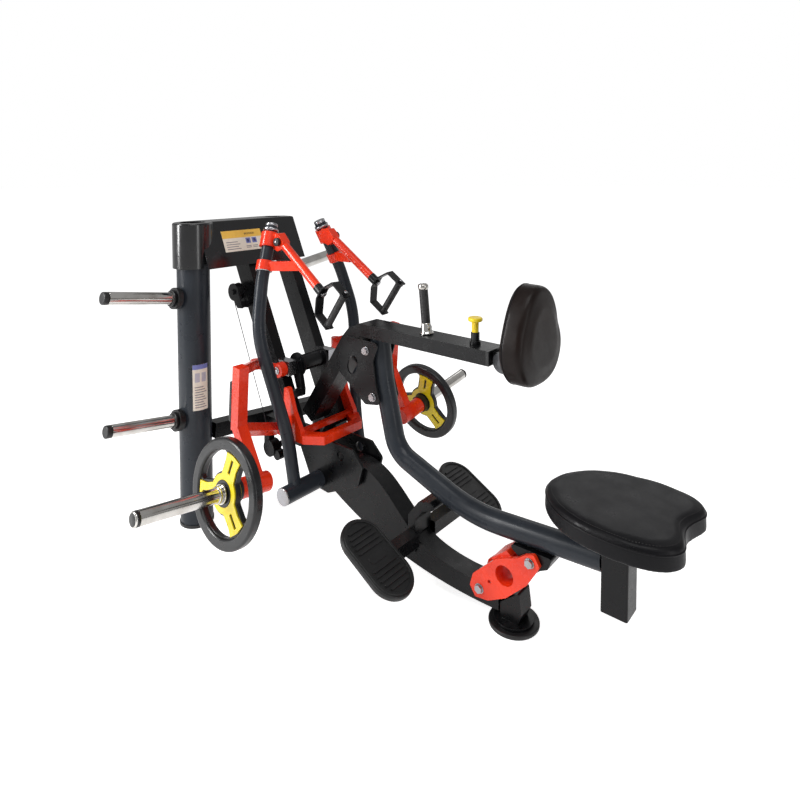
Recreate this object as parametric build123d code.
from build123d import *
import math
import os

# Plate-loaded seated row machine, in millimetres.
# X runs from the weight station to the seat, Y towards the seated user's right hand, Z is up.
# Everything is laid out from the weight station: X is 0 where the weight plates hang.

# ---- driving dimensions -------------------------------------------------------------------------
REAR_X = -617.0            # back of the top shroud
FRONT_X = 1363.0           # front of the seat cushion
ORIGIN_X = -(REAR_X + FRONT_X) / 2.0
WALL = 4.0                 # wall of every welded tube
RUN = 0.05                 # radial running clearance

UPRIGHT_X, UPRIGHT_Y, UPRIGHT_R = -535.0, -342.0, 67.0
FOOT_HEIGHT = 14.0
TOP_BEAM_Z0, TOP_BEAM_Z1 = 1105.0, 1175.0
SHROUD_Z0, SHROUD_Z1, SHROUD_WALL = 1092.0, 1280.0, 4.0
SHROUD_R = 82.0

MAST_Y0, MAST_Y1 = 88.0, 136.0
MAST_TOP_X, MAST_FOOT_X, MAST_FOOT_Z = -492.0, -150.0, 402.0
MAST_DEPTH = 100.0         # along X, across the slope
MAST_SLOPE = (MAST_FOOT_X - MAST_TOP_X) / (TOP_BEAM_Z0 - MAST_FOOT_Z)

BEAM_HALF_W = 50.0         # chest beam, half width
BEAM_TOP_Z, BEAM_DEPTH, BEAM_END_X = 905.0, 50.0, 720.0
BASE_HALF_W = 40.0         # base beam, half width
SIDE_PLATE_Y0, SIDE_PLATE_Y1 = 50.5, 60.5

SEAT_TUBE_R = 38.0
SEAT_X = 1151.0
SEAT_TOP_Z = 535.0
SLEEVE_HALF, POST_HALF = 40.0, 35.5

LEVER_AXIS_X, LEVER_AXIS_Z = -70.0, 225.0
LEVER_R = 25.5
LEVER_ROOT_Y = 190.0
PIVOT_TUBE_R, PIVOT_SHAFT_R = 35.0, 17.0
PIVOT_TUBE_Y0, PIVOT_TUBE_Y1 = 61.5, 248.0

SWING_X, SWING_Z = -200.0, 677.0   # axis of the weight frame
SWING_SHAFT_R = 15.0
HUB_R, HUB_HALF = 34.0, 58.0

PLATE_Y, PLATE_Z = 555.0, 390.0
PLATE_R, PLATE_RIM, PLATE_WEB = 182.5, 36.0, 18.0
HORN_R, HORN_TILT = 25.0, 8.6
HORN_ROOT_R = 24.6         # where a horn is held, and at its cap
HORN_TIP = 334.0           # beyond the plate's middle, along the horn
HORN_ROOT = -108.0
BOSS_END = -46.0           # the red boss ends here and a rubber collar reaches on to the plate
SPOKES = (45, 165, 285)
SPOKE_HALF, SPOKE_ROOT_R = 41.0, 72.0
FREE_FROM = PLATE_RIM / 2 + 0.5    # the free part of a weight horn starts just beyond the plate

PAD_TILT_X, PAD_TILT_Z = 768.0, 868.0
PAD_THICKNESS = 86.0
PIN_X, PIN_R = 648.0, 7.0
SEAT_PIN_Z, SEAT_PIN_R, SEAT_PIN_Y = 320.0, 6.0, 36.2


# ---- helpers ------------------------------------------------------------------------------------
def save(name, *solids):
    """Write one node, moved from the weight station to the middle of the machine."""
    placed = [Pos(ORIGIN_X, 0, 0) * solid for solid in solids]
    shape = placed[0] if len(placed) == 1 else Compound(children=placed)
    export_step(shape, f"parts/{name}.step")


def both(solid):
    """The solid and its mirror image across the machine's middle plane."""
    return solid, mirror(solid, about=Plane.XZ)


def box(x0, x1, y0, y1, z0, z1):
    middle = Pos((x0 + x1) / 2, (y0 + y1) / 2, (z0 + z1) / 2)
    return middle * Box(x1 - x0, y1 - y0, z1 - z0)


def rod(start, end, radius, bore=0.0):
    """Round bar or tube between two points."""
    axis = Vector(*end) - Vector(*start)
    plane = Plane(origin=start, z_dir=axis)
    on_start = (Align.CENTER, Align.CENTER, Align.MIN)
    solid = plane * Cylinder(radius, axis.length, align=on_start)
    if bore:
        solid -= plane * Cylinder(bore, axis.length, align=on_start)
    return solid


def outline(points, corner=0.0):
    """Closed flat face, its corners rounded."""
    face = make_face(Polyline(*points, close=True))
    return fillet(face.vertices(), corner) if corner else face


def side_prism(face, y0, y1):
    """A face drawn in X and Z, as thick as y0 to y1."""
    plane = Plane(origin=(0, y1, 0), x_dir=(1, 0, 0), z_dir=(0, -1, 0))
    return extrude(plane * face, amount=y1 - y0, dir=(0, -1, 0))


def plan_prism(face, z0, z1):
    """A face drawn in X and Y, from z0 up to z1."""
    return extrude(Pos(0, 0, z0) * face, amount=z1 - z0, dir=(0, 0, 1))


def bar(start, end, width, depth, wall=WALL):
    """Rectangular tube between two points; width lies along Y where the bar isn't along Y."""
    axis = Vector(*end) - Vector(*start)
    across = Vector(0, 1, 0) if abs(axis.normalized().Y) < 0.9 else Vector(1, 0, 0)
    side = across - axis.normalized() * across.dot(axis.normalized())
    plane = Plane(origin=start, x_dir=side, z_dir=axis)
    section = Rectangle(width, depth)
    if wall:
        section -= Rectangle(width - 2 * wall, depth - 2 * wall)
    return extrude(plane * section, amount=axis.length)


def bent_tube(points, radii, radius, wall=WALL):
    """Round tube along straight runs joined by tangent arcs."""
    path = FilletPolyline(*points, radius=radii)
    start = Plane(origin=path @ 0, z_dir=path % 0)
    solid = sweep(start * Circle(radius), path=path)
    if wall:
        solid -= sweep(start * Circle(radius - wall), path=path)
    return solid


def hex_bolt(centre, direction, size, length):
    """Bolt with its head's underside at centre; the shank runs back along -direction."""
    plane = Plane(origin=centre, z_dir=direction)
    head = extrude(plane * RegularPolygon(size * 0.95, 6), amount=size * 0.65)
    shank = extrude(plane * Circle(size / 2), amount=-length)
    return head + shank


# ---- fixed frame --------------------------------------------------------------------------------
def upright():
    tube = rod((UPRIGHT_X, UPRIGHT_Y, FOOT_HEIGHT), (UPRIGHT_X, UPRIGHT_Y, TOP_BEAM_Z0),
               UPRIGHT_R, UPRIGHT_R - WALL)
    foot = rod((UPRIGHT_X, UPRIGHT_Y, 0), (UPRIGHT_X, UPRIGHT_Y, FOOT_HEIGHT), UPRIGHT_R + 3)
    save("upright_tube", tube)
    right_foot = rod((CROSS_X, RIGHT_LEG_Y, 0), (CROSS_X, RIGHT_LEG_Y, FOOT_HEIGHT), 45)
    save("rear_feet", *[fillet(pad.edges().group_by(Axis.Z)[0], 3) for pad in (foot, right_foot)])


CROSS_Z, CROSS_HALF = 386.0, 32.0
CROSS_X = -505.0
RIGHT_LEG_Y = 330.0


def rear_base():
    cross = bar((CROSS_X, UPRIGHT_Y + 58, CROSS_Z), (CROSS_X, RIGHT_LEG_Y - 30, CROSS_Z - 60), 60, 64)
    tube_hole = rod((UPRIGHT_X, UPRIGHT_Y, 0), (UPRIGHT_X, UPRIGHT_Y, 600), UPRIGHT_R + 0.2)
    leg_hole = rod((CROSS_X, RIGHT_LEG_Y, 0), (CROSS_X, RIGHT_LEG_Y, 600), 30)
    leg = rod((CROSS_X, RIGHT_LEG_Y, FOOT_HEIGHT), (CROSS_X, RIGHT_LEG_Y, CROSS_Z - 22), 30, 26)
    save("rear_cross_beam", cross - tube_hole - leg_hole, leg)
    spine = bar((CROSS_X + 31, 0, CROSS_Z - 35), (-165, 0, CROSS_Z - 35), 60, 60)
    save("spine_beam", spine)


def mast_x(z):
    """Middle of the masts at a height."""
    return MAST_TOP_X + (TOP_BEAM_Z0 - z) * MAST_SLOPE


def masts():
    half = MAST_DEPTH / 2
    inner = half - WALL * math.hypot(1, MAST_SLOPE)
    corners = [(mast_x(z) + side * half, z)
               for z, side in ((TOP_BEAM_Z0, -1), (TOP_BEAM_Z0, 1), (MAST_FOOT_Z, 1), (MAST_FOOT_Z, -1))]
    bores = [(mast_x(z) + side * inner, z)
             for z, side in ((1300, -1), (1300, 1), (200, 1), (200, -1))]
    mast = side_prism(outline(corners), MAST_Y0, MAST_Y1)
    mast -= side_prism(outline(bores), MAST_Y0 + WALL, MAST_Y1 - WALL)
    save("masts", *both(mast))
    beam = box(-556, -478, UPRIGHT_Y - 40, MAST_Y1, TOP_BEAM_Z0, TOP_BEAM_Z1)
    hollow = box(-552, -482, UPRIGHT_Y - 70, MAST_Y1 + 10, TOP_BEAM_Z0 + WALL, TOP_BEAM_Z1 - WALL)
    save("top_beam", beam - hollow)


SHROUD_END_Y = 172.0
SHROUD_FRONT = (-417.0, -503.0)     # front face at the bottom and at the top; it slopes like the masts


def shroud_front(z):
    low_x, high_x = SHROUD_FRONT
    return low_x + (high_x - low_x) * (z - SHROUD_Z0) / (SHROUD_Z1 - SHROUD_Z0)


def shroud_form(inset, z0, z1):
    """Round about the upright, then a box with a sloping front."""
    drum = rod((UPRIGHT_X, UPRIGHT_Y, z0), (UPRIGHT_X, UPRIGHT_Y, z1), SHROUD_R - inset)
    back = UPRIGHT_X - SHROUD_R + inset
    profile = outline([(back, z0), (shroud_front(z0) - inset, z0), (shroud_front(z1) - inset, z1), (back, z1)])
    body = side_prism(profile, UPRIGHT_Y, SHROUD_END_Y - inset)
    corner = outline([(back - 1, SHROUD_END_Y - inset - 90), (back + 55, SHROUD_END_Y - inset + 1),
                      (back - 1, SHROUD_END_Y - inset + 1)])
    return drum + (body - plan_prism(corner, z0 - 1, z1 + 1))


def shroud():
    shell = shroud_form(0, SHROUD_Z0, SHROUD_Z1)
    shell = fillet(shell.edges().group_by(Axis.Z)[-1], 8)
    shell -= shroud_form(SHROUD_WALL, SHROUD_Z0 - 1, SHROUD_Z1 - 14)
    for x, y, r in ((UPRIGHT_X, UPRIGHT_Y, 52), (-558, 96, 38)):
        shell -= rod((x, y, SHROUD_Z1 - 10), (x, y, SHROUD_Z1 + 1), r)
    save("top_shroud", shell)


BASE_FRONT_X = 770.0


def base_face(inset, front_x):
    """Side view of the curved base beam, drawn in by the inset at the top and the bottom."""
    top = Spline((front_x, 124 - inset), (565, 116 - inset), (440, 150 - inset), (281, 274 - inset),
                 (60 + inset, 338 - inset))
    bottom = Spline((-36 + inset, 205 + inset), (195, 108 + inset), (519, 47 + inset), (front_x, 46 + inset))
    rear = Line(top @ 1, bottom @ 0)
    return make_face([top, rear, bottom, Line(bottom @ 1, top @ 0)])


def base():
    beam = side_prism(base_face(0, BASE_FRONT_X), -BASE_HALF_W, BASE_HALF_W)
    core = side_prism(base_face(WALL + 1, BASE_FRONT_X + 5), -BASE_HALF_W + WALL, BASE_HALF_W - WALL)
    save("base_beam", beam - core)

    plate = outline([(-150, 398), (118, 398), (175, 345), (150, 262), (-20, 180), (-112, 186), (-190, 330)], 16)
    cheek = side_prism(plate, SIDE_PLATE_Y0, SIDE_PLATE_Y1)
    window = rod((52, 40, 356), (52, 70, 356), 20)
    bore = rod((LEVER_AXIS_X, 40, LEVER_AXIS_Z), (LEVER_AXIS_X, 70, LEVER_AXIS_Z), PIVOT_SHAFT_R + RUN)
    save("base_side_plates", *both(cheek - window - bore))
    foot = box(-205, -100, -MAST_Y1, MAST_Y1, MAST_FOOT_Z - 26, MAST_FOOT_Z)
    foot = chamfer(foot.edges().filter_by(Axis.Z), 6)
    foot -= box(-206, -99, -SIDE_PLATE_Y1, SIDE_PLATE_Y1, 300, MAST_FOOT_Z + 1)
    boss = rod((LEVER_AXIS_X, -SIDE_PLATE_Y0, LEVER_AXIS_Z),
               (LEVER_AXIS_X, SIDE_PLATE_Y0, LEVER_AXIS_Z), 30, PIVOT_SHAFT_R + RUN)
    save("base_spacers", *foot.solids(), boss)


def chest_beam():
    h = BEAM_HALF_W
    low_z = BEAM_TOP_Z - BEAM_DEPTH
    points = [(BEAM_END_X, BEAM_TOP_Z), (150, BEAM_TOP_Z), (92, 880), (52, 836), (-186, 480),
              (-130, 444), (146, low_z), (BEAM_END_X, low_z)]
    face = outline(points)
    beam = side_prism(face, -h, h)
    inner = side_prism(offset(face, amount=-WALL, kind=Kind.INTERSECTION), -h + WALL, h - WALL)
    mouth = box(BEAM_END_X - 10, BEAM_END_X + 10, -h + WALL, h - WALL, low_z + WALL, BEAM_TOP_Z - WALL)
    pin_hole = rod((PIN_X, 0, BEAM_TOP_Z - 20), (PIN_X, 0, BEAM_TOP_Z + 5), 12)
    save("chest_beam", beam - inner - mouth - pin_hole)
    ring = box(BEAM_END_X + 0.2, BEAM_END_X + 12, -h, h, low_z, BEAM_TOP_Z)
    ring -= box(BEAM_END_X - 1, BEAM_END_X + 20, -h + 5, h - 5, low_z + 5, BEAM_TOP_Z - 5)
    collar = rod((PIN_X, 0, BEAM_TOP_Z + 0.2), (PIN_X, 0, BEAM_TOP_Z + 40), 15, PIN_R + RUN)
    collar += rod((PIN_X, 0, BEAM_TOP_Z + 0.2), (PIN_X, 0, BEAM_TOP_Z + 12), 19, PIN_R + RUN)
    save("chest_beam_trim", ring, collar)


GUSSET = [(78, 846), (252, 846), (226, 770), (238, 690), (262, 612), (186, 598), (20, 716)]
GUSSET_Y0, GUSSET_Y1 = 50.6, 56.6
GUSSET_BOLTS = [(188, 806), (224, 634)]
LINK_BOLTS = [(706, 101), (890, 264)]
BOLT = 15.0


def gussets():
    plate = side_prism(outline(GUSSET, 14), GUSSET_Y0, GUSSET_Y1)
    window = Pos(118, 738) * Rot(0, 0, -20) * Ellipse(26, 39)
    plate -= side_prism(window, GUSSET_Y0 - 5, GUSSET_Y1 + 5)
    for x, z in GUSSET_BOLTS:
        plate -= rod((x, 0, z), (x, 80, z), BOLT / 2)
    save("gussets", *both(plate))


def seat_tube():
    points = [(214, 0, 850), (232, 0, 700), (300, 0, 430), (640, 0, 310), (SEAT_X - 43.5, 0, 342)]
    tube = bent_tube(points, [500, 110, 520], SEAT_TUBE_R)
    save("seat_tube", tube)
    sleeve = box(SEAT_X - SLEEVE_HALF, SEAT_X + SLEEVE_HALF, -SLEEVE_HALF, SLEEVE_HALF, 205, 425)
    sleeve = fillet(sleeve.edges().filter_by(Axis.Z), 6)
    inside = box(SEAT_X - 36, SEAT_X + 36, -36, 36, 200, 430)
    sleeve -= rod((SEAT_X, 30, SEAT_PIN_Z), (SEAT_X, 50, SEAT_PIN_Z), SEAT_PIN_R + RUN)
    save("seat_sleeve", sleeve - inside)


STRUT = [(392, 100), (392, 236), (440, 300), (490, 312), (520, 300), (500, 285), (455, 268), (425, 226),
         (425, 100)]


def strut_and_footrests():
    strut = side_prism(outline(STRUT, 9), -47, 47)
    gap = side_prism(outline([(300, 40), (600, 40), (600, 122), (440, 156), (300, 262)]), -BASE_HALF_W - 0.3,
                     BASE_HALF_W + 0.3)
    seat_clear = bent_tube([(232, 0, 700), (300, 0, 430), (640, 0, 310), (SEAT_X, 0, 342)], [110, 520],
                           SEAT_TUBE_R + 0.3, 0)
    save("frame_strut", strut - gap - seat_clear)
    stubs = [bar((420, side * 47.2, 160), (420, side * 300, 160), 50, 50) for side in (-1, 1)]
    backs = [extrude(foot_plane(side) * Rectangle(150, 90), amount=-6) for side in (-1, 1)]
    save("footrest_frame", *stubs, *backs)


def foot_plane(side):
    """Middle of a footplate; local X runs to the toe, local Z is the tread's normal."""
    toe = Vector(-0.88, 0, 0.475)
    normal = Vector(0.475, 0, 0.88)
    return Plane(origin=(440, side * 278, 196), x_dir=toe, z_dir=normal)


RIM_STRAIGHT, RIM_R = 66.0, 67.0     # inside of the tread's raised rim: half its straight run, its end radius
RIBS = [side * (36 + 18 * index) for side in (-1, 1) for index in range(5)]


def footplates():
    plates = []
    for side in (-1, 1):
        plane = foot_plane(side)
        sole = extrude(plane * SlotOverall(300, 168), amount=22)
        sole = fillet(sole.edges(), 7)
        rim = extrude(SlotOverall(284, 152) - SlotOverall(2 * (RIM_STRAIGHT + RIM_R), 2 * RIM_R), amount=4)
        sole += plane * (Pos(0, 0, 21.9) * fillet(rim.edges().group_by(Axis.Z)[-1], 1.5))
        sole += plane * (Pos(0, 0, 21.9) * Rot(0, 0, 90) * extrude(SlotOverall(78, 30), amount=2))
        for along in RIBS:
            beyond = max(0, abs(along) - RIM_STRAIGHT)
            length = 2 * (math.sqrt(RIM_R ** 2 - beyond ** 2) - 10)
            strip = Rot(0, 0, 90) * extrude(SlotOverall(length, 8), amount=5)
            sole += plane * (Pos(along, 0, 21.9) * strip)
        plates.append(sole)
    save("footplates", *plates)


def front_support():
    cheek = outline([(668, 98), (680, 142), (768, 228), (846, 262), (872, 282), (905, 296), (925, 262),
                     (880, 186), (806, 112), (740, 74), (690, 66)], 9)
    body = side_prism(cheek, -56, -42) + side_prism(cheek, 42, 56)
    web = outline([(742, 214), (800, 262), (818, 248), (768, 198)], 4)
    sleeve = rod((800, -56, 184), (800, 56, 184), 39)
    body = body + side_prism(web, -42, 42) + sleeve
    body -= rod((800, -60, 184), (800, 60, 184), 33)
    body -= rod((744, -60, 140), (744, 60, 140), 6)
    for x, z in LINK_BOLTS:
        body -= rod((x, -60, z), (x, 60, z), BOLT / 2)
    save("front_link_casting", body)
    bolts = []
    for x, z in LINK_BOLTS:
        bolts += both(hex_bolt((x, 56, z), (0, 1, 0), BOLT, 13.9))
    for x, z in GUSSET_BOLTS:
        bolts += both(hex_bolt((x, GUSSET_Y1, z), (0, 1, 0), BOLT, GUSSET_Y1 - GUSSET_Y0))
    save("frame_bolts", *bolts)
    lug = side_prism(outline([(800, 290), (960, 296), (945, 258), (905, 236), (868, 244)], 8), -41.5, 41.5)
    tube = bent_tube([(300, 0, 430), (640, 0, 310), (SEAT_X, 0, 342)], [520], SEAT_TUBE_R + 0.3, 0)
    save("seat_tube_lug", lug - tube)
    stem = side_prism(outline([(771, 72), (842, 132), (852, 60), (838, 24), (776, 24)], 5), -34, 34)
    disc = rod((806, 0, 14), (806, 0, 24), 66)
    foot = rod((806, 0, 0), (806, 0, 14), 84)
    save("front_foot_stem", stem + disc)
    save("front_foot_pad", fillet(foot.edges(), 5))


def hand_post():
    base_point = Vector(440, 0, BEAM_TOP_Z)
    up = Vector(-0.10, 0, 1).normalized()
    point = lambda height: tuple(base_point + up * height)
    post = rod(point(2.2), point(12), 19) + rod(point(11), point(162), 11) + rod(point(160.2), point(178), 17)
    save("hand_post_rod", post)
    grip = rod(point(40), point(160), 16.5, 11.0)
    save("hand_post_grip", grip)


# ---- storage horns, labels, cable ---------------------------------------------------------------
STORAGE_HORN = 322.0
STORAGE_COLLAR_R = 44.0
HORN_CAP = 22.0


def horn(root, direction):
    """Storage horn, its black collar and end cap, along a direction from its root."""
    axis = Vector(*direction).normalized()
    start = Vector(*root)
    at = lambda distance: tuple(start + axis * distance)
    tube = rod(at(0), at(31), HORN_ROOT_R, HORN_R - WALL)
    tube += rod(at(30.5), at(STORAGE_HORN - HORN_CAP), HORN_R, HORN_R - WALL)
    collar = rod(at(8), at(30), STORAGE_COLLAR_R, HORN_ROOT_R + RUN)
    cap = rod(at(STORAGE_HORN - HORN_CAP + 0.2), at(STORAGE_HORN), HORN_ROOT_R)
    cap = fillet(cap.edges(), 5)
    return tube, collar, cap


def storage_horns():
    tilt = math.radians(9)
    out = (0, -math.cos(tilt), math.sin(tilt))
    side_y = UPRIGHT_Y - UPRIGHT_R + 3
    tubes, collars, caps = [], [], []
    for z in (968, 458):
        tube, collar, cap = horn((UPRIGHT_X, side_y, z), out)
        trimmed = rod((UPRIGHT_X, UPRIGHT_Y, 100), (UPRIGHT_X, UPRIGHT_Y, 1100), UPRIGHT_R + 0.1)
        tubes.append(tube - trimmed)
        collars.append(collar - trimmed)
        caps.append(cap)
    tube, collar, cap = horn((mast_x(1040), MAST_Y1 - 2, 1040), (0, math.cos(tilt), math.sin(tilt)))
    mast_side = box(-700, -300, 0, MAST_Y1 + 0.1, 900, 1200)
    tubes.append(tube - mast_side)
    collars.append(collar - mast_side)
    caps.append(cap)
    save("storage_horns", *tubes)
    save("storage_horn_trim", *collars, *caps)


def labels():
    low, high = 1150, 1236
    strip = outline([(shroud_front(low) + 0.1, low), (shroud_front(low) + 1, low),
                     (shroud_front(high) + 1, high), (shroud_front(high) + 0.1, high)])
    shroud_label = side_prism(strip, -243, -40)
    plane = Plane(origin=(UPRIGHT_X, UPRIGHT_Y, 0), x_dir=(1, 0, 0), z_dir=(0, 0, 1))
    ring = extrude(plane * (Circle(UPRIGHT_R + 0.8) - Circle(UPRIGHT_R + 0.1)), amount=692)
    cut = extrude(plane * Rot(0, 0, -12) * Pos(60, 0) * Rectangle(80, 62), amount=692)
    plate = (ring & cut) - box(-700, 0, -600, 0, 0, 500)
    mast_label = side_prism(outline([(mast_x(742) - 22, 742), (mast_x(742) + 30, 742),
                                     (mast_x(640) + 30, 640), (mast_x(640) - 22, 640)], 3),
                            MAST_Y1 + 0.1, MAST_Y1 + 0.8)
    save("label_plates", shroud_label, plate, mast_label)


SHEAVE_X, SHEAVE_Z, SHEAVE_Y = -478.0, 968.0, -170.0
SHEAVE_R, CABLE_R = 30.0, 1.6
CABLE_LEAN, CABLE_RUN = math.radians(24.0), 612.0
ANCHOR_X, ANCHOR_Z = -238.0, 346.0


def pulley():
    """Guide pulley on the left mast, its cable and the cable's lower anchor."""
    at = lambda y: (SHEAVE_X, SHEAVE_Y + y, SHEAVE_Z)
    sheave = rod(at(-8), at(8), SHEAVE_R + 6, 8 + RUN)
    plane = Plane(origin=at(0), x_dir=(1, 0, 0), z_dir=(0, 1, 0))
    ring = extrude(plane * (Circle(SHEAVE_R + 8) - Circle(SHEAVE_R)), amount=2.4, both=True)
    save("pulley_sheave", sheave - ring)
    ear = outline([(SHEAVE_X - 36, SHEAVE_Z + 4), (SHEAVE_X + 38, SHEAVE_Z),
                   (SHEAVE_X + 66, SHEAVE_Z - 62), (SHEAVE_X + 30, SHEAVE_Z - 66)])
    bridge = outline([(SHEAVE_X + 46, SHEAVE_Z - 36), (SHEAVE_X + 54, SHEAVE_Z - 38),
                      (SHEAVE_X + 64, SHEAVE_Z - 60), (SHEAVE_X + 44, SHEAVE_Z - 62)])
    body = side_prism(bridge, SHEAVE_Y - 11, SHEAVE_Y + 11)
    for near, far in ((-16, -11), (11, 16)):
        body += rod(at(near), at(far), 38)
        body += side_prism(ear, SHEAVE_Y + near, SHEAVE_Y + far)
    mount_x, mount_z = SHEAVE_X + 50, SHEAVE_Z - 48
    body += rod((mount_x, SHEAVE_Y + 15, mount_z), (mount_x, -MAST_Y1, mount_z), 12)
    body += rod(at(-22), at(22), 8)
    body += rod(at(-24), at(-16), 12)
    save("pulley_cheeks", body)

    wrap_r = SHEAVE_R + CABLE_R
    down = Vector(math.sin(CABLE_LEAN), 0, -math.cos(CABLE_LEAN))
    leave = Vector(*at(0)) + Vector(down.Z, 0, -down.X) * wrap_r
    low = leave + down * CABLE_RUN
    front = Vector(SHEAVE_X + wrap_r, SHEAVE_Y, SHEAVE_Z)
    over = Vector(SHEAVE_X, SHEAVE_Y, SHEAVE_Z + wrap_r)
    runs = [Line(low, leave), ThreePointArc(leave, over, front), Line(front, front - Vector(0, 0, 30))]
    cable = sweep(Plane(origin=low, z_dir=-down) * Circle(CABLE_R), path=Wire(runs))
    length = sum(run.length for run in runs)
    ratio = cable.volume / (math.pi * CABLE_R ** 2 * length)
    print(f"cable: {length:.0f} mm long, arc radius {wrap_r:.1f}, volume ratio {ratio:.3f}")
    save("cable", cable)

    top = low.Z - 0.9
    anchor = box(low.X - 16, low.X + 16, SHEAVE_Y - 14, SHEAVE_Y + 14, top - 44, top)
    anchor += rod((ANCHOR_X, SHEAVE_Y - 20, ANCHOR_Z), (ANCHOR_X, SHEAVE_Y + 20, ANCHOR_Z), 34)
    anchor += rod((ANCHOR_X + 44, SHEAVE_Y - 14, ANCHOR_Z - 18), (ANCHOR_X + 44, SHEAVE_Y + 14, ANCHOR_Z - 18), 20)
    anchor += rod((ANCHOR_X, SHEAVE_Y, ANCHOR_Z), (ANCHOR_X, -30, ANCHOR_Z), 12)
    save("cable_anchor", anchor)


# ---- hand levers --------------------------------------------------------------------------------
LEVER_BEND = Vector(-231, 220, 1052)       # where the lever's straight top begins
LEVER_TOP = Vector(-273, 136, 1262)
LEVER_TOP_DIR = (LEVER_TOP - LEVER_BEND).normalized()


def on_lever(z):
    """Point on the straight top of the right lever at a height."""
    return LEVER_BEND + LEVER_TOP_DIR * ((z - LEVER_BEND.Z) / LEVER_TOP_DIR.Z)


def levers():
    points = [(-72, LEVER_ROOT_Y, 236), (-109, 193, 430), (-195, 272, 850), LEVER_BEND, LEVER_TOP]
    tube = bent_tube(points, [800, 400, 600], LEVER_R)
    tube -= rod((LEVER_AXIS_X, 0, LEVER_AXIS_Z), (LEVER_AXIS_X, 400, LEVER_AXIS_Z), PIVOT_TUBE_R)
    right, left = both(tube)
    save("lever_right", right)
    save("lever_left", left)
    at = lambda y: (LEVER_AXIS_X, y, LEVER_AXIS_Z)
    shaft = rod(at(-PIVOT_TUBE_Y1), at(PIVOT_TUBE_Y1), PIVOT_SHAFT_R)
    tube = rod(at(PIVOT_TUBE_Y0), at(PIVOT_TUBE_Y1), PIVOT_TUBE_R, PIVOT_SHAFT_R)
    save("lever_pivot", shaft, *both(tube))
    end = fillet(rod(at(PIVOT_TUBE_Y1 + 0.1), at(PIVOT_TUBE_Y1 + 9), PIVOT_TUBE_R).edges(), 2.5)
    top = rod(tuple(LEVER_TOP + LEVER_TOP_DIR * 0.1), tuple(LEVER_TOP + LEVER_TOP_DIR * 12), LEVER_R)
    save("lever_caps", *both(end), *both(fillet(top.edges(), 3)))


# ---- handle arms and D-handles ------------------------------------------------------------------
ARM_TUBE_R = 18.0
ARM_START = Vector(-196, 141, 1201)
ARM_END = Vector(25, 153, 1048)
ARM_DIR = (ARM_END - ARM_START).normalized()


def handle_arm():
    ring = lambda z, half, r: rod(tuple(on_lever(z) - LEVER_TOP_DIR * half),
                                  tuple(on_lever(z) + LEVER_TOP_DIR * half), r)
    arm = ring(1208, 30, 36) + ring(1107, 20, 34)
    block = outline([(-258, 1182), (-250, 1236), (-206, 1240), (-172, 1206), (-176, 1180), (-206, 1166)], 8)
    arm += side_prism(block, 122, 160)
    arm += rod(tuple(ARM_START), tuple(ARM_END), ARM_TUBE_R)
    arm += bar(tuple(on_lever(1107)), (-84, 147, 1118), 26, 38, 0)
    web = outline([(-150, 1128), (-104, 1140), (-60, 1110), (-84, 1100)], 6)
    arm += side_prism(web, 138, 156)
    lever_bore = rod(tuple(on_lever(1040)), tuple(on_lever(1290)), LEVER_R + RUN)
    swivel_bore = rod(tuple(ARM_END - ARM_DIR * 40), tuple(ARM_END + ARM_DIR * 5), 8 + RUN)
    right, left = both(arm - lever_bore - swivel_bore)
    save("handle_arm_right", right)
    save("handle_arm_left", left)


def d_handle():
    """Stirrup and grip; local X runs on along the arm, local Y is across the stirrup's plane."""
    forward = ARM_DIR
    plane = Plane(origin=ARM_END, x_dir=forward, z_dir=Vector(0, 1, 0) - forward * forward.Y)
    strap = outline([(34, -26), (34, 26), (66, 84), (148, 84), (148, 78), (70, 78), (40, 24), (40, -24),
                     (70, -78), (148, -78), (148, -84), (66, -84)])
    body = extrude(plane * strap, amount=19, both=True)
    body += rod(tuple(ARM_END + ARM_DIR * 0.5), tuple(ARM_END + ARM_DIR * 34.5), 19)
    body += rod(tuple(ARM_END - ARM_DIR * 38), tuple(ARM_END + ARM_DIR * 2), 8)
    body += rod(tuple(ARM_END + ARM_DIR * 39), tuple(ARM_END + ARM_DIR * 48), 13)
    across = plane.y_dir
    grip_middle = ARM_END + ARM_DIR * 132
    for side in (-1, 1):
        body += rod(tuple(grip_middle + across * 77.9 * side), tuple(grip_middle + across * 92 * side), 9)
    right, left = both(body)
    save("handle_stirrup_right", right)
    save("handle_stirrup_left", left)
    grip = rod(tuple(grip_middle - across * 77.8), tuple(grip_middle + across * 77.8), 14)
    right, left = both(grip)
    save("handle_grip_right", right)
    save("handle_grip_left", left)


# ---- weight frame -------------------------------------------------------------------------------
EAR_Y0, EAR_Y1 = 139.5, 160.0


def swing_pivot():
    at = lambda y: (SWING_X, y, SWING_Z)
    shaft = rod(at(-176), at(176), SWING_SHAFT_R)
    block = box(-250, SWING_X + 26, MAST_Y0 + 4, MAST_Y1 - 4, SWING_Z - 30, SWING_Z + 30)
    lean = side_prism(outline([(mast_x(800) + 50.2, 800), (mast_x(800) + 500, 800),
                               (mast_x(500) + 500, 500), (mast_x(500) + 50.2, 500)]), 0, 400)
    block = (block & lean) - rod(at(0), at(300), SWING_SHAFT_R)
    save("swing_pivot", shaft, *both(block))


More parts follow.
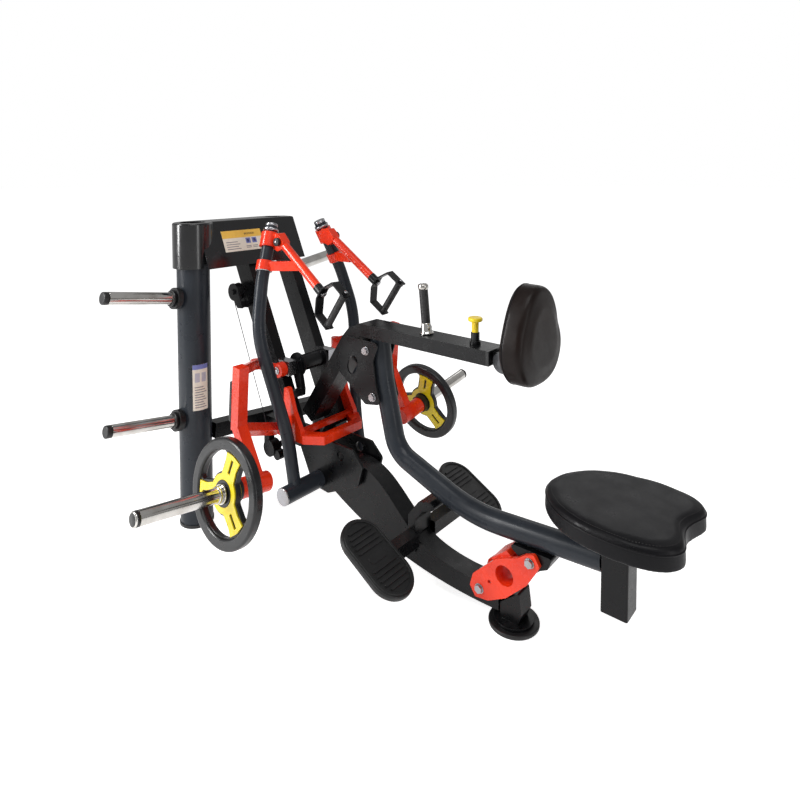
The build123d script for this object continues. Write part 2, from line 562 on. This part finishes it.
def swing_hub():
    at = lambda y: (SWING_X, y, SWING_Z)
    hub = rod(at(-HUB_HALF), at(HUB_HALF), HUB_R, SWING_SHAFT_R + RUN)
    for side in (-1, 1):
        hub += rod(at(side * HUB_HALF), at(side * (HUB_HALF + 7)), 50, SWING_SHAFT_R + RUN)
    hanger = outline([(-222, 700), (-178, 700), (-160, 640), (-148, 585), (-150, 556), (-172, 556), (-184, 585)], 8)
    for side in (-1, 1):
        low, high = sorted((side * 64, side * 84))
        hub += side_prism(hanger, low, high) - rod(at(-100), at(100), SWING_SHAFT_R + RUN)
        tie_low, tie_high = sorted((side * 80, side * EAR_Y0))
        hub += box(-169, -150, tie_low, tie_high, 560, 590)
    save("swing_hub", hub)


def yoke():
    ear = outline([(-172, 612), (-146, 612), (-112, 520), (-70, 452), (-64, 404), (-120, 404), (-178, 440)], 8)
    solid = side_prism(ear, EAR_Y0, EAR_Y1)
    rail = plan_prism(outline([(-100, 160), (-100, 126), (-22, 78), (12, 78), (12, 108), (-60, 160)], 6), 404, 438)
    solid += rail
    right, left = both(solid)
    front = box(-22, 12, -84, 84, 404, 438)
    rear = box(-108, -86, -145, 145, 424, 446)
    save("yoke", right + left + front + rear)


def weight_arm():
    """Cast arm: top, outer and lower limbs, a boss for the horn and an eye on the swing shaft."""
    eye = rod((SWING_X, 140, SWING_Z), (SWING_X, 172, SWING_Z), 30)
    elbow = (-268, 226, 704)
    corner = (-88, 428, 762)
    heel = (-104, 428, 540)
    arm = bar((SWING_X - 14, 158, SWING_Z + 2), elbow, 28, 26, 0) + eye
    arm += rod((elbow[0], elbow[1], elbow[2] - 18), (elbow[0], elbow[1], elbow[2] + 18), 21)
    arm += bar(elbow, corner, 34, 34, 0)
    arm += bar((corner[0] + 1, corner[1], corner[2] + 18), heel, 42, 42, 0)
    arm += bar(heel, (-206, EAR_Y1 + 8, 432), 36, 36, 0)
    arm += bar((heel[0], heel[1], heel[2] + 20), (-6, 424, 382), 42, 40, 0)
    arm += box(-212, -152, EAR_Y1 - 5, EAR_Y1 + 16, 414, 450)
    arm -= box(-300, 0, 100, EAR_Y1, 380, 480)
    tilt = math.radians(HORN_TILT)
    out = Vector(0, math.cos(tilt), math.sin(tilt))
    middle = Vector(0, PLATE_Y, PLATE_Z)
    on_horn = lambda distance: tuple(middle + out * distance)
    arm += rod(on_horn(HORN_ROOT - 66), on_horn(BOSS_END), 36)
    arm -= rod(on_horn(HORN_ROOT - 30), on_horn(HORN_TIP), HORN_ROOT_R)
    arm -= rod((SWING_X, 100, SWING_Z), (SWING_X, 200, SWING_Z), SWING_SHAFT_R + RUN)
    right, left = both(arm)
    save("weight_arm_right", right)
    save("weight_arm_left", left)
    horn_tube = rod(on_horn(HORN_ROOT - 30), on_horn(FREE_FROM + 0.5), HORN_ROOT_R, HORN_R - WALL)
    horn_tube += rod(on_horn(FREE_FROM), on_horn(HORN_TIP - 16), HORN_R, HORN_R - WALL)
    tip = rod(on_horn(HORN_TIP - 16.5), on_horn(HORN_TIP), HORN_ROOT_R)
    collar = rod(on_horn(BOSS_END + 0.2), on_horn(-PLATE_RIM / 2 - 0.2), 40, HORN_ROOT_R + RUN)
    save("weight_horns", *both(horn_tube + fillet(tip.edges().sort_by(Axis.Y)[-1:], 4)))
    stop = side_prism(outline([(-127, 568), (-139, 574), (-128, 720), (-115.6, 726)], 3), 408, 448)
    save("weight_bumpers", *both(stop), *both(collar))


def weight_plate():
    tilt = math.radians(HORN_TILT)
    out = Vector(0, math.cos(tilt), math.sin(tilt))
    plane = Plane(origin=(0, PLATE_Y, PLATE_Z), x_dir=(1, 0, 0), z_dir=out)
    rim = extrude(plane * (Circle(PLATE_R) - Circle(PLATE_R - 40)), amount=PLATE_RIM / 2, both=True)
    rim = fillet(rim.edges(), 9)
    windows = Circle(PLATE_R - 42) - Circle(SPOKE_ROOT_R)
    for turn in SPOKES:
        windows -= Rot(0, 0, turn) * Pos(PLATE_R / 2, 0) * Rectangle(PLATE_R, 2 * SPOKE_HALF)
    wheel = Circle(PLATE_R - 38) - Circle(HORN_R + RUN) - fillet(windows.vertices(), 12)
    web = extrude(plane * wheel, amount=PLATE_WEB / 2, both=True)
    hub = extrude(plane * (Circle(44) - Circle(HORN_R + RUN)), amount=PLATE_RIM / 2 - 2, both=True)
    right, left = both(rim + web + hub)
    save("weight_plate_right", right)
    save("weight_plate_left", left)
    inserts = []
    star = Circle(SPOKE_ROOT_R - 6)
    spoke = outline([(20, -38), (96, -32), (PLATE_R - 50, -39), (PLATE_R - 44, 0), (PLATE_R - 50, 39),
                     (96, 32), (20, 38)])
    for turn in SPOKES:
        star += Rot(0, 0, turn) * spoke
    star -= Circle(45)
    for turn in SPOKES:
        star -= Rot(0, 0, turn) * Pos(98, 0) * Rectangle(50, 13)
    for side in (-1, 1):
        face = extrude(plane * star, amount=side * 5)
        inserts.append(Pos(*(out * side * (PLATE_WEB / 2 + 0.1))) * face)
    right_left = [both(solid) for solid in inserts]
    save("plate_insert_right", *[pair[0] for pair in right_left])
    save("plate_insert_left", *[pair[1] for pair in right_left])


# ---- chest pad, pull pin, seat ------------------------------------------------------------------
def chest_pad():
    low_z = BEAM_TOP_Z - BEAM_DEPTH
    tube = box(500, 731, -BEAM_HALF_W + 5.5, BEAM_HALF_W - 5.5, low_z + 5.5, BEAM_TOP_Z - 5.5)
    tube -= box(490, 726, -BEAM_HALF_W + 9, BEAM_HALF_W - 9, low_z + 9, BEAM_TOP_Z - 9)
    for step in range(5):
        hole_x = PIN_X - 25 * step
        tube -= rod((hole_x, 0, BEAM_TOP_Z - 30), (hole_x, 0, BEAM_TOP_Z), PIN_R + 0.6)
    lug = outline([(728, BEAM_TOP_Z - 8), (728, low_z + 8), (736, low_z + 7), (750, 842), (782, 842),
                   (792, 868), (780, 892)], 4)
    tube += side_prism(lug, -18, 18)
    tube -= rod((PAD_TILT_X, -40, PAD_TILT_Z), (PAD_TILT_X, 40, PAD_TILT_Z), 8 + RUN)
    save("chest_slide", tube)
    cheek = rod((PAD_TILT_X, 19, PAD_TILT_Z), (PAD_TILT_X, 26, PAD_TILT_Z), 35)
    cheek += box(PAD_TILT_X, 812, 19, 26, PAD_TILT_Z - 35, PAD_TILT_Z + 35)
    cheek -= rod((PAD_TILT_X, 0, PAD_TILT_Z), (PAD_TILT_X, 50, PAD_TILT_Z), 8)
    right, left = both(cheek)
    board = box(806, 816, -60, 60, 838, 1060)
    bolt = rod((PAD_TILT_X, -34, PAD_TILT_Z), (PAD_TILT_X, 34, PAD_TILT_Z), 8)
    for side in (-1, 1):
        bolt += rod((PAD_TILT_X, side * 26, PAD_TILT_Z), (PAD_TILT_X, side * 34, PAD_TILT_Z), 13)
    save("pad_bracket", right + left + board, bolt)
    section = Plane(origin=(816.5, 0, 0), x_dir=(0, 1, 0), z_dir=(1, 0, 0))
    half = [(84, 1096), (128, 1012), (148, 930), (100, 838)]
    egg = Spline((0, 1138), *half, (0, 812), *[(-y, z) for y, z in reversed(half)], periodic=True)
    pad = extrude(section * make_face(egg), amount=PAD_THICKNESS)
    save("chest_pad", fillet(pad.edges(), 20))


def pull_pin():
    pin = rod((PIN_X, 0, BEAM_TOP_Z - 4), (PIN_X, 0, BEAM_TOP_Z + 60), PIN_R)
    neck = rod((PIN_X, 0, BEAM_TOP_Z + 41), (PIN_X, 0, BEAM_TOP_Z + 84), 12)
    head = rod((PIN_X, 0, BEAM_TOP_Z + 78), (PIN_X, 0, BEAM_TOP_Z + 92), 25)
    head = fillet(head.edges(), 5)
    save("chest_pull_pin", pin + neck + head)


def seat():
    post = box(SEAT_X - POST_HALF, SEAT_X + POST_HALF, -POST_HALF, POST_HALF, 230, 458)
    post -= box(SEAT_X - 31, SEAT_X + 31, -31, 31, 220, 454)
    board = Pos(SEAT_X - 6, 0) * Ellipse(150, 120)
    plate = plan_prism(board, 458, 468)
    save("seat_post", post + plate)
    half = [(964, 100), (1054, 172), (1168, 198), (1273, 190), (1336, 158), (1362, 108), (1348, 50)]
    shape = Spline((927, 0), *half, (1339, 0), *[(x, -y) for x, y in reversed(half)], periodic=True)
    cushion = plan_prism(make_face(shape), 468.5, SEAT_TOP_Z)
    save("seat_cushion", fillet(cushion.edges().group_by(Axis.Z)[-1], 14))
    pin = rod((SEAT_X, SEAT_PIN_Y, SEAT_PIN_Z), (SEAT_X, SLEEVE_HALF + 34, SEAT_PIN_Z), SEAT_PIN_R)
    knob = rod((SEAT_X, SLEEVE_HALF + 26, SEAT_PIN_Z), (SEAT_X, SLEEVE_HALF + 48, SEAT_PIN_Z), 19)
    knob = fillet(knob.edges(), 5)
    save("seat_pull_pin", pin + knob)


PIECES = [upright, rear_base, masts, shroud, base, chest_beam, gussets, seat_tube, strut_and_footrests,
          footplates, front_support, hand_post, storage_horns, labels, pulley, levers, handle_arm, d_handle,
          swing_pivot, swing_hub, yoke, weight_arm, weight_plate, chest_pad, pull_pin, seat]
os.makedirs("parts", exist_ok=True)
for piece in PIECES:
    piece()
